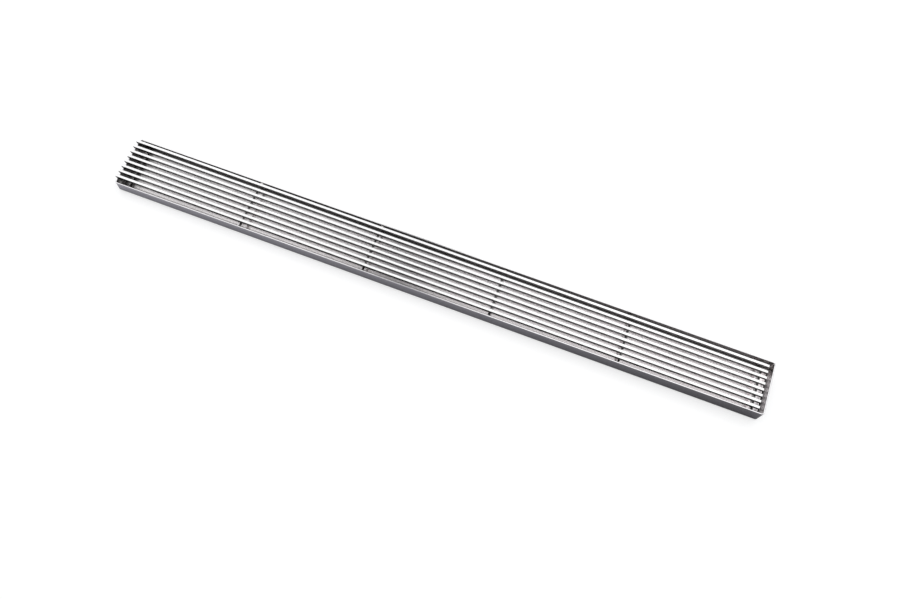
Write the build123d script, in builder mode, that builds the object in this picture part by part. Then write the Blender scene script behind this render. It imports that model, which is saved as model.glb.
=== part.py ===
from build123d import *
import os

# Linear floor drain: a shallow stainless channel with a lift-out grate.
# The channel runs along X and stands on its flat underside at Z = 0.
# Its rim rises from the shallow end at -X to the deep end at +X, so the
# floor falls towards the deep end once the rim is set level.
# The grate is a row of lengthwise wires welded on upright cross bars,
# and the legs of those bars stand on the channel floor. The grate lies
# pushed towards the shallow end, where its wires lap over the end wall.

# Channel, in millimetres
channel_length = 900.0
channel_width = 74.0
sheet = 1.5
deep_depth = 26.0
corner_radius = 3.5
bend_radius = 3.0
cap_return = 9.0
rim_rounding = 0.4

# Grate wires: a wedge section, wide at the top and narrow at its foot
wire_count = 8
wire_top_width = 3.5
wire_foot_width = 1.9
wire_height = 6.2
wire_edge_radius = 0.35
side_gap = 4.75
end_lap = 1.5
right_gap = 6.1
grate_proud = 0.2
rim_clearance = 1.0

# Cross bars under the wires, each a flat bar on edge with a leg at each end
bar_count = 6
bar_thickness = 3.0
bar_depth = 8.5
bar_inset = 7.7
bar_end_gap = 0.4
leg_width = 5.0

# Sizes that follow from those above
inner_length = channel_length - 2 * sheet
inner_width = channel_width - 2 * sheet
inner_bend_radius = bend_radius - sheet
fall = wire_height - grate_proud + rim_clearance
mean_depth = deep_depth - fall / 2
blank_height = deep_depth + sheet
seam = channel_length / 2 - cap_return
grate_top = deep_depth + grate_proud
wire_foot_level = grate_top - wire_height
bar_foot_level = wire_foot_level - bar_depth
leg_height = bar_foot_level - sheet
bar_length = inner_width - 2 * bar_end_gap
leg_centre = (bar_length - leg_width) / 2
grate_left = -inner_length / 2 - end_lap
wire_length = inner_length + end_lap - right_gap
wire_row = inner_width - 2 * side_gap - wire_top_width
wire_pitch = wire_row / (wire_count - 1)
bar_pitch = (wire_length - 2 * bar_inset) / (bar_count - 1)
first_bar = grate_left + bar_inset - bar_thickness / 2

os.makedirs("parts", exist_ok=True)

# The space inside the channel, with the inner radii of its corners and bends
with BuildPart() as hollow:
    with BuildSketch(Plane.XY.offset(sheet)):
        Rectangle(inner_length, inner_width)
    extrude(amount=blank_height)
    fillet(hollow.edges().filter_by(Axis.Z), corner_radius - sheet)
    fillet(hollow.faces().sort_by(Axis.Z)[0].edges(), inner_bend_radius)

# The whole trough: its rim is cut on a slope, then the cut edge is rounded
with BuildPart() as trough:
    with BuildSketch():
        Rectangle(channel_length, channel_width)
    extrude(amount=blank_height)
    fillet(trough.edges().filter_by(Axis.Z), corner_radius)
    fillet(trough.faces().sort_by(Axis.Z)[0].edges(), bend_radius)
    add(hollow.part, mode=Mode.SUBTRACT)
    rim_plane = Plane(origin=(0, 0, mean_depth), z_dir=(-fall, 0, channel_length))
    split(bisect_by=rim_plane, keep=Keep.BOTTOM)
    fillet(trough.faces().sort_by(Axis.Z)[-1].edges(), rim_rounding)

# The folded channel, open at both ends
with BuildPart() as channel:
    add(trough.part)
    split(bisect_by=Plane.YZ.offset(seam), keep=Keep.BOTTOM)
    split(bisect_by=Plane.YZ.offset(-seam), keep=Keep.TOP)
channel.part.label = "channel"
export_step(channel.part, "parts/channel.step")

# The pressed end cap at the shallow end, butt welded to the channel by its short return
with BuildPart() as end_cap_shallow:
    add(trough.part)
    split(bisect_by=Plane.YZ.offset(-seam), keep=Keep.BOTTOM)
end_cap_shallow.part.label = "end_cap_shallow"
export_step(end_cap_shallow.part, "parts/end_cap_shallow.step")

# The end cap at the deep end
with BuildPart() as end_cap_deep:
    add(trough.part)
    split(bisect_by=Plane.YZ.offset(seam), keep=Keep.TOP)
end_cap_deep.part.label = "end_cap_deep"
export_step(end_cap_deep.part, "parts/end_cap_deep.step")

# The lengthwise wires, counted from the +Y side
for wire_index in range(wire_count):
    wire_y = wire_row / 2 - wire_index * wire_pitch
    with BuildPart() as wire:
        with BuildSketch(Plane.YZ.offset(grate_left)) as wedge:
            with BuildLine():
                Polyline(
                    (wire_y - wire_foot_width / 2, wire_foot_level),
                    (wire_y + wire_foot_width / 2, wire_foot_level),
                    (wire_y + wire_top_width / 2, grate_top),
                    (wire_y - wire_top_width / 2, grate_top),
                    close=True,
                )
            make_face()
            fillet(wedge.vertices().group_by(Axis.Y)[-1], wire_edge_radius)
        extrude(amount=wire_length)
    wire_name = f"wire_{wire_index + 1}"
    wire.part.label = wire_name
    export_step(wire.part, f"parts/{wire_name}.step")

# The cross bars, counted from the shallow end. Each reaches almost from wall to wall, and
# its legs are rounded at the foot to clear the bends of the channel.
for bar_index in range(bar_count):
    bar_x = first_bar + bar_index * bar_pitch
    with BuildPart() as bar:
        with BuildSketch(Plane.YZ.offset(bar_x)) as outline:
            with Locations((0, bar_foot_level)):
                Rectangle(bar_length, bar_depth, align=(Align.CENTER, Align.MIN))
            with Locations((-leg_centre, bar_foot_level), (leg_centre, bar_foot_level)):
                Rectangle(leg_width, leg_height, align=(Align.CENTER, Align.MAX))
            leg_feet = outline.vertices().group_by(Axis.Y)[0]
            leg_roots = outline.vertices().group_by(Axis.Y)[1]
            fillet(leg_feet + leg_roots, inner_bend_radius)
        extrude(amount=bar_thickness)
    bar_name = f"cross_bar_{bar_index + 1}"
    bar.part.label = bar_name
    export_step(bar.part, f"parts/{bar_name}.step")
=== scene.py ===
import math

import bmesh
import bpy
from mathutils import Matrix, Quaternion, Vector

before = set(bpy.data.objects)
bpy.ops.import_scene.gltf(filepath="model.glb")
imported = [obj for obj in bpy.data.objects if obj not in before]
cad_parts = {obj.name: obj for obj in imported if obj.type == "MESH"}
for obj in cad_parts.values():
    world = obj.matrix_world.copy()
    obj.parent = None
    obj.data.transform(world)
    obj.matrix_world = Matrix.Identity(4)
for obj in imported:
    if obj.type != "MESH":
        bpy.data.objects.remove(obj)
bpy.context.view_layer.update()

# The camera stands above the near side of the drain and looks down its length at a slant,
# a little turned, as the photograph was taken. Places are in metres in the drain's frame.
camera_place = Vector((0.1288, -0.4529, 1.0714))
camera_aim = Vector((0.0289, -0.0281, 0.0110))
camera_roll = math.radians(7.61)
camera_lens = 35.02
sensor_width = 36.0

view_camera = bpy.data.cameras.new("view_camera")
view_camera.sensor_width = sensor_width
view_camera.sensor_fit = "HORIZONTAL"
view_camera.lens = camera_lens
camera = bpy.data.objects.new("view_camera", view_camera)
bpy.context.collection.objects.link(camera)
camera.location = camera_place
camera.rotation_mode = "QUATERNION"
level_look = (camera_aim - camera_place).to_track_quat("-Z", "Y")
camera.rotation_quaternion = level_look @ Quaternion((0.0, 0.0, 1.0), camera_roll)
bpy.context.scene.camera = camera
bpy.context.scene.view_settings.view_transform = "Standard"

# The studio: a wide round sheet of white paper on the ground, turned up at its far edge, so
# that no edge of it shows. Near the drain it is matt and keeps the drain's soft shadow, with
# a lift for the camera alone. Away from the drain the sheet shows as plain white.
paper_radius = 5.0
paper_sides = 96
paper_rise = 2.4
paper_flare = 1.15
paper_drop = 0.0003
paper_colour = (0.48, 0.48, 0.48)
paper_roughness = 0.9
paper_glow = 0.60
plain_white = (1.0, 1.0, 1.0)
shadow_reach = 0.75
white_reach = 1.9

paper_form = bmesh.new()
paper_disc = bmesh.ops.create_circle(
    paper_form, cap_ends=True, radius=paper_radius, segments=paper_sides
)
bmesh.ops.translate(paper_form, verts=paper_disc["verts"], vec=(0.0, 0.0, -paper_drop))
turned_up = bmesh.ops.extrude_edge_only(
    paper_form, edges=[edge for edge in paper_form.edges if edge.is_boundary]
)
turned_points = [part for part in turned_up["geom"] if isinstance(part, bmesh.types.BMVert)]
bmesh.ops.translate(paper_form, verts=turned_points, vec=(0.0, 0.0, paper_rise))
bmesh.ops.scale(paper_form, verts=turned_points, vec=(paper_flare, paper_flare, 1.0))
bmesh.ops.recalc_face_normals(paper_form, faces=paper_form.faces)
paper_mesh = bpy.data.meshes.new("paper_sheet")
paper_form.to_mesh(paper_mesh)
paper_form.free()
paper_sheet = bpy.data.objects.new("paper_sheet", paper_mesh)
bpy.context.collection.objects.link(paper_sheet)


def new_finish(name):
    finish = bpy.data.materials.new(name)
    finish.use_nodes = True
    return finish, finish.node_tree


# Gives each socket its source: another socket is linked to it, and a number, a vector or a
# colour is set on the socket itself.
def feed(sockets, sources):
    for name, source in sources.items():
        socket = sockets[name]
        if isinstance(source, bpy.types.NodeSocket):
            socket.id_data.links.new(source, socket)
        elif socket.type == "RGBA":
            socket.default_value = (*source, 1.0)
        else:
            socket.default_value = source


def reckon(tree, operation, *sources):
    node = tree.nodes.new("ShaderNodeMath")
    node.operation = operation
    feed(node.inputs, dict(enumerate(sources)))
    return node.outputs["Value"]


def reckon_vector(tree, operation, sources, result="Vector"):
    node = tree.nodes.new("ShaderNodeVectorMath")
    node.operation = operation
    feed(node.inputs, sources)
    return node.outputs[result]


# Goes from low to high while the value goes from start to end, and stays there beyond them.
def fade(tree, value, start, end, low=0.0, high=1.0, course="LINEAR"):
    node = tree.nodes.new("ShaderNodeMapRange")
    node.interpolation_type = course
    stretch = {"From Min": start, "From Max": end, "To Min": low, "To Max": high}
    feed(node.inputs, {"Value": value, **stretch})
    return node.outputs["Result"]


def place_on_drain(tree):
    return tree.nodes.new("ShaderNodeTexCoord").outputs["Object"]


white_paper, paper_tree = new_finish("white_paper")
ray_kind = paper_tree.nodes.new("ShaderNodeLightPath").outputs
seen = ray_kind["Is Camera Ray"]
seen_or_mirrored = reckon(paper_tree, "MAXIMUM", seen, ray_kind["Is Glossy Ray"])
seen_at_all = reckon(paper_tree, "MAXIMUM", seen_or_mirrored, ray_kind["Is Transmission Ray"])
paper_distance = reckon_vector(paper_tree, "LENGTH", {0: place_on_drain(paper_tree)}, "Value")
far_away = fade(paper_tree, paper_distance, shadow_reach, white_reach, course="SMOOTHSTEP")
near_paper = paper_tree.nodes["Principled BSDF"]
near_finish = {
    "Base Color": paper_colour,
    "Roughness": paper_roughness,
    "Specular IOR Level": 0.0,
    "Emission Color": plain_white,
    "Emission Strength": reckon(paper_tree, "MULTIPLY", seen, paper_glow),
}
feed(near_paper.inputs, near_finish)
far_paper = paper_tree.nodes.new("ShaderNodeEmission")
feed(far_paper.inputs, {"Color": plain_white, "Strength": 1.0})
paper_layers = {
    "Fac": reckon(paper_tree, "MULTIPLY", far_away, seen_at_all),
    1: near_paper.outputs["BSDF"],
    2: far_paper.outputs["Emission"],
}
paper_blend = paper_tree.nodes.new("ShaderNodeMixShader")
feed(paper_blend.inputs, paper_layers)
feed(paper_tree.nodes["Material Output"].inputs, {"Surface": paper_blend.outputs["Shader"]})
paper_mesh.materials.append(white_paper)

# The light: two broad soft boxes side by side overhead, a little behind the drain, which the
# tops of the wires mirror towards the camera. The gap between them gives the steel its darker
# band, and a dimmer white room stands all round.
box_height = 2.1
box_depth = 3.2
box_back = 0.75
left_box = (-2.3, -0.50)
right_box = (-0.27, 2.3)
left_radiance = 1.25
right_radiance = 1.36
room_colour = (0.97, 0.98, 1.0)
room_strength = 0.5


def hang_soft_box(name, ends, radiance):
    light = bpy.data.lights.new(name, "AREA")
    light.shape = "RECTANGLE"
    light.size = ends[1] - ends[0]
    light.size_y = box_depth
    light.energy = radiance * math.pi * light.size * light.size_y
    soft_box = bpy.data.objects.new(name, light)
    soft_box.location = ((ends[0] + ends[1]) / 2, box_back, box_height)
    bpy.context.collection.objects.link(soft_box)


hang_soft_box("soft_box_left", left_box, left_radiance)
hang_soft_box("soft_box_right", right_box, right_radiance)

room = bpy.data.worlds.new("room")
room.use_nodes = True
room_background = room.node_tree.nodes["Background"]
feed(room_background.inputs, {"Color": room_colour, "Strength": room_strength})
bpy.context.scene.world = room

# The channel and its two end caps: thin stainless sheet, folded up at the sides, with the
# pressed caps butt welded on and polished over. The floor is brushed bright between its folds,
# and so is the cut rim, and painted shade darkens the folds. Outside, painted reflection and
# shade darken the sides.

# The grain of the brush: long fine lines along the drain, and clouds, in counts per metre.
sheet_lines = 2600.0
sheet_roughness = (0.15, 0.24)
sheet_drawn_out = 0.4
grain_runs = 25.0
grain_detail = 3.0
grain_roughness = 0.65
cloud_count = 20.0
cloud_detail = 2.0
grain_shades = (0.88, 1.12)
grain_direction = (1.0, 0.02, 0.0)
grain_strength = 0.25
grain_relief = 0.00001

# The floor, seen from above, in painted light and shade: painted lighter at its far side and
# towards the deep end, with painted shade in the folds along both sides and close to the
# shallow end. Each stretch, width and height gives where a change starts and ends, and the
# shifts move the edge of a dark fold outwards. A slope of 1 is a level face, and 0 an upright
# one.
drain_ends = (-0.45, 0.45)
floor_near = (0.60, 0.578, 0.58)
floor_far = (0.84, 0.812, 0.815)
floor_width = (-0.022, 0.020)
floor_lift_deep = (1.14, 1.10, 1.11)
fold_shallow = (0.16, 0.155, 0.155)
fold_deep = (0.18, 0.172, 0.172)
fold_start = (0.0205, 0.0285)
far_fold_shift = 0.0065
near_fold_shifts = (0.008, 0.003)
near_shift_share = 0.4
floor_at_end = (0.28, 0.271, 0.271)
floor_end_stretch = (-0.418, -0.437)
rim_skin = (0.64, 0.63, 0.635)
rim_heights = (0.012, 0.016)
level_slopes = (0.4, 0.8)

# The walls inside: painted light at the foot of the sides and painted shade under the rim.
# Each end wall has painted light and shade of its own, low, high and in its far corner.
inner_side_low = (0.76, 0.705, 0.685)
inner_side_high = (0.13, 0.123, 0.122)
side_heights = (0.006, 0.016)
shallow_end_skin = (0.17, 0.165, 0.164)
shallow_end_corner = (0.45, 0.435, 0.435)
deep_end_low = (0.15, 0.15, 0.152)
deep_end_high = (0.44, 0.44, 0.445)
deep_end_corner = (0.85, 0.83, 0.83)
end_heights = (0.009, 0.020)
end_corner_stretch = (0.018, 0.025)
end_slopes = (0.5, 0.8)

# The walls outside: a painted reflection darkens them at the deep end, and painted shade
# towards the foot and where they turn under. A face is on the outside where it looks away from
# the middle of the drain, or down.
outer_side_shallow = (0.60, 0.583, 0.65)
outer_side_deep = (0.168, 0.160, 0.181)
outer_heights = (0.002, 0.024)
outer_shades = (0.8, 1.2)
under_slopes = (-0.6, -0.05)
under_shades = (0.25, 1.0)
level_part = (1.0, 1.0, 0.0)
downward = (0.0, 0.0, -0.02)
outside_to_inside = (0.012, 0.0)


# Brushed grain, shared by all the steel. Its input is the count of lines, and it puts out the
# lines and the clouds as two values from 0 to 1.
def make_grain_group():
    group = bpy.data.node_groups.new("brushed_grain", "ShaderNodeTree")
    for name, way in (("Lines", "INPUT"), ("Grain", "OUTPUT"), ("Cloud", "OUTPUT")):
        group.interface.new_socket(name=name, in_out=way, socket_type="NodeSocketFloat")
    lines = group.nodes.new("NodeGroupInput").outputs["Lines"]
    place = place_on_drain(group)
    counts = group.nodes.new("ShaderNodeCombineXYZ")
    feed(counts.inputs, {"X": grain_runs, "Y": lines, "Z": lines})
    drawn = reckon_vector(group, "MULTIPLY", {0: place, 1: counts.outputs["Vector"]})
    fine = group.nodes.new("ShaderNodeTexNoise")
    fine_lines = {"Scale": 1.0, "Detail": grain_detail, "Roughness": grain_roughness}
    feed(fine.inputs, {"Vector": drawn, **fine_lines})
    broad = group.nodes.new("ShaderNodeTexNoise")
    feed(broad.inputs, {"Vector": place, "Scale": cloud_count, "Detail": cloud_detail})
    group_out = group.nodes.new("NodeGroupOutput")
    feed(group_out.inputs, {"Grain": fine.outputs["Fac"], "Cloud": broad.outputs["Fac"]})
    return group


grain_group = make_grain_group()


def facing(tree):
    return tree.nodes.new("ShaderNodeNewGeometry").outputs["Normal"]


def split(tree, vector):
    node = tree.nodes.new("ShaderNodeSeparateXYZ")
    feed(node.inputs, {"Vector": vector})
    return node.outputs


def blend(tree, share, first, second, way="MIX"):
    node = tree.nodes.new("ShaderNodeMix")
    node.data_type = "RGBA"
    node.blend_type = way
    feed(node.inputs, {"Factor": share, "A": first, "B": second})
    return node.outputs["Result"]


def place_group(tree, group, sources):
    node = tree.nodes.new("ShaderNodeGroup")
    node.node_tree = group
    feed(node.inputs, sources)
    return node.outputs


# Brushes one skin of steel. The grain varies its colour, its roughness and a very fine relief,
# and the gloss is drawn out across the lines.
def brush_steel(tree, skin, roughness, drawn_out, lines):
    grain = place_group(tree, grain_group, {"Lines": lines})
    shade = fade(tree, grain["Grain"], 0.0, 1.0, *grain_shades)
    bump = tree.nodes.new("ShaderNodeBump")
    relief = {"Strength": grain_strength, "Distance": grain_relief, "Height": grain["Grain"]}
    feed(bump.inputs, relief)
    finish = {
        "Base Color": reckon_vector(tree, "SCALE", {0: skin, "Scale": shade}),
        "Metallic": 1.0,
        "Roughness": fade(tree, grain["Cloud"], 0.0, 1.0, *roughness),
        "Anisotropic": drawn_out,
        "Tangent": reckon_vector(tree, "CROSS_PRODUCT", {0: facing(tree), 1: grain_direction}),
        "Normal": bump.outputs["Normal"],
    }
    feed(tree.nodes["Principled BSDF"].inputs, finish)


# The skins of a sheet piece, shared by the channel and its caps. The colours of an end wall go
# in. The skin inside, the skin outside and the share of a face that is inside come out.
def make_sheet_group():
    group = bpy.data.node_groups.new("sheet_skins", "ShaderNodeTree")
    for name, way, kind in (
        ("End Low", "INPUT", "NodeSocketColor"),
        ("End High", "INPUT", "NodeSocketColor"),
        ("End Corner", "INPUT", "NodeSocketColor"),
        ("Inner Skin", "OUTPUT", "NodeSocketColor"),
        ("Outer Skin", "OUTPUT", "NodeSocketColor"),
        ("Inside", "OUTPUT", "NodeSocketFloat"),
    ):
        group.interface.new_socket(name=name, in_out=way, socket_type=kind)
    end_skins = group.nodes.new("NodeGroupInput").outputs
    place = place_on_drain(group)
    where = split(group, place)
    normal = facing(group)
    slope = split(group, normal)
    towards_deep = fade(group, where["X"], *drain_ends)

    # Painted shade on the walls inside: the sides dark under the rim, and the end walls lit
    # and shaded by height and in the far corner.
    side_height = fade(group, where["Z"], *side_heights)
    side = blend(group, side_height, inner_side_low, inner_side_high)
    end_height = fade(group, where["Z"], *end_heights)
    end = blend(group, end_height, end_skins["End Low"], end_skins["End High"])
    in_corner = fade(group, where["Y"], *end_corner_stretch)
    end = blend(group, in_corner, end, end_skins["End Corner"])
    on_end = fade(group, reckon(group, "ABSOLUTE", slope["X"]), *end_slopes)
    wall = blend(group, on_end, side, end)

    # Painted light and shade on the floor: darker on its near side, lighter towards the deep
    # end, and painted shade in both folds and at the shallow end.
    across_floor = fade(group, where["Y"], *floor_width)
    floor = blend(group, across_floor, floor_near, floor_far)
    floor = blend(group, towards_deep, floor, floor_lift_deep, "MULTIPLY")
    far_reach = reckon(group, "MULTIPLY_ADD", towards_deep, -far_fold_shift, where["Y"])
    near_shift = fade(group, towards_deep, 0.0, near_shift_share, *near_fold_shifts)
    near_edge = reckon(group, "ADD", where["Y"], near_shift)
    near_reach = reckon(group, "MULTIPLY", near_edge, -1.0)
    in_fold = fade(group, reckon(group, "MAXIMUM", far_reach, near_reach), *fold_start)
    fold = blend(group, towards_deep, fold_shallow, fold_deep)
    floor = blend(group, in_fold, floor, fold)
    at_end = fade(group, where["X"], *floor_end_stretch)
    floor = blend(group, at_end, floor, floor_at_end)
    at_rim = fade(group, where["Z"], *rim_heights)
    level = blend(group, at_rim, floor, rim_skin)
    inner_skin = blend(group, fade(group, slope["Z"], *level_slopes), wall, level)

    # Painted reflection: the outer sides darken towards the deep end. Painted shade: darker
    # towards the foot and under the fold.
    painted_outer_reflection = blend(group, towards_deep, outer_side_shallow, outer_side_deep)
    side_shade = fade(group, where["Z"], *outer_heights, *outer_shades)
    under_shade = fade(group, slope["Z"], *under_slopes, *under_shades)
    outer_shade = reckon(group, "MULTIPLY", side_shade, under_shade)
    outer_skin = reckon_vector(group, "SCALE", {0: painted_outer_reflection, "Scale": outer_shade})

    outwards = reckon_vector(group, "MULTIPLY_ADD", {0: place, 1: level_part, 2: downward})
    turned_out = reckon_vector(group, "DOT_PRODUCT", {0: normal, 1: outwards}, "Value")
    inside = fade(group, turned_out, *outside_to_inside)
    skins = {"Inner Skin": inner_skin, "Outer Skin": outer_skin, "Inside": inside}
    feed(group.nodes.new("NodeGroupOutput").inputs, skins)
    return group


def dress(piece, steel):
    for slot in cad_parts[piece].material_slots:
        slot.material = steel


sheet_group = make_sheet_group()
for piece, end_low, end_high, end_corner in (
    ("channel", inner_side_low, inner_side_high, inner_side_high),
    ("end_cap_shallow", shallow_end_skin, shallow_end_skin, shallow_end_corner),
    ("end_cap_deep", deep_end_low, deep_end_high, deep_end_corner),
):
    sheet_steel, sheet_tree = new_finish(piece + "_steel")
    end_colours = {"End Low": end_low, "End High": end_high, "End Corner": end_corner}
    skins = place_group(sheet_tree, sheet_group, end_colours)
    sheet_skin = blend(sheet_tree, skins["Inside"], skins["Outer Skin"], skins["Inner Skin"])
    brush_steel(sheet_tree, sheet_skin, sheet_roughness, sheet_drawn_out, sheet_lines)
    dress(piece, sheet_steel)

# The wires: stainless wire drawn to a wedge section, then linished along the tops once it is
# welded to the cross bars. The feet and near sides are dark with painted shade, and the far
# sides and the cut ends carry a lighter painted shade.
wire_top = (0.76, 0.76, 0.76)
wire_near_side = (0.035, 0.034, 0.035)
wire_far_side = (0.30, 0.30, 0.305)
wire_far_slopes = (0.3, 0.6)
wire_top_slopes = (0.75, 0.97)
wire_roughness = (0.36, 0.46)
wire_drawn_out = 0.3
wire_lines = 3600.0

wire_steel, wire_tree = new_finish("wire_steel")
# Painted shade on the near sides and feet, and a lighter painted shade on the far sides and
# cut ends.
wire_slope = split(wire_tree, facing(wire_tree))
wire_end = reckon(wire_tree, "ABSOLUTE", wire_slope["X"])
wire_turn = reckon(wire_tree, "MAXIMUM", wire_slope["Y"], wire_end)
wire_far = fade(wire_tree, wire_turn, *wire_far_slopes)
wire_sides = blend(wire_tree, wire_far, wire_near_side, wire_far_side)
wire_upward = fade(wire_tree, wire_slope["Z"], *wire_top_slopes)
wire_skin = blend(wire_tree, wire_upward, wire_sides, wire_top)
brush_steel(wire_tree, wire_skin, wire_roughness, wire_drawn_out, wire_lines)
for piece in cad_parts:
    if piece.startswith("wire_"):
        dress(piece, wire_steel)

# The cross bars: stainless flat bar on edge, with a leg at each end, welded under the wires.
# The sides are bright. The upper edge carries painted shade beside each wire, darkest over the
# near leg. The first bar is painted dark all over, painted shade at the shallow end.
bar_side = (0.70, 0.69, 0.69)
bar_shade_by_wire = (0.42, 0.40, 0.392)
bar_unshaded_edge = (0.80, 0.775, 0.77)
bar_shade_over_leg = (0.05, 0.048, 0.047)
first_bar_shade = (0.13, 0.125, 0.122)
first_wire_y = 0.029
wire_pitch = 0.0082857
unshaded_stretch = (0.20, 0.30)
near_leg_stretch = (-0.0300, -0.0308)
bar_side_slopes = (0.85, 0.35)
bar_roughness = (0.14, 0.24)
first_bar_roughness = (0.25, 0.35)
bar_drawn_out = 0.4
bar_lines = 1800.0

bar_steel, bar_tree = new_finish("bar_steel")
# Painted shade on the upper edge: beside each wire, and darkest over the near leg.
bar_y = split(bar_tree, place_on_drain(bar_tree))["Y"]
first_wire = first_wire_y / wire_pitch
wires_passed = reckon(bar_tree, "MULTIPLY_ADD", bar_y, -1.0 / wire_pitch, first_wire)
past_wire = reckon(bar_tree, "MODULO", wires_passed, 1.0)
unshaded_share = fade(bar_tree, past_wire, *unshaded_stretch)
bar_edge = blend(bar_tree, unshaded_share, bar_shade_by_wire, bar_unshaded_edge)
over_leg = fade(bar_tree, bar_y, *near_leg_stretch)
bar_edge = blend(bar_tree, over_leg, bar_edge, bar_shade_over_leg)
bar_upward = split(bar_tree, facing(bar_tree))["Z"]
bar_sideways = fade(bar_tree, bar_upward, *bar_side_slopes)
bar_skin = blend(bar_tree, bar_sideways, bar_edge, bar_side)
brush_steel(bar_tree, bar_skin, bar_roughness, bar_drawn_out, bar_lines)

# The first bar is painted dark all over, painted shade at the shallow end.
first_bar_steel, first_bar_tree = new_finish("first_bar_steel")
brush_steel(first_bar_tree, first_bar_shade, first_bar_roughness, bar_drawn_out, bar_lines)
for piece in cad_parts:
    if piece.startswith("cross_bar_"):
        dress(piece, first_bar_steel if piece == "cross_bar_1" else bar_steel)
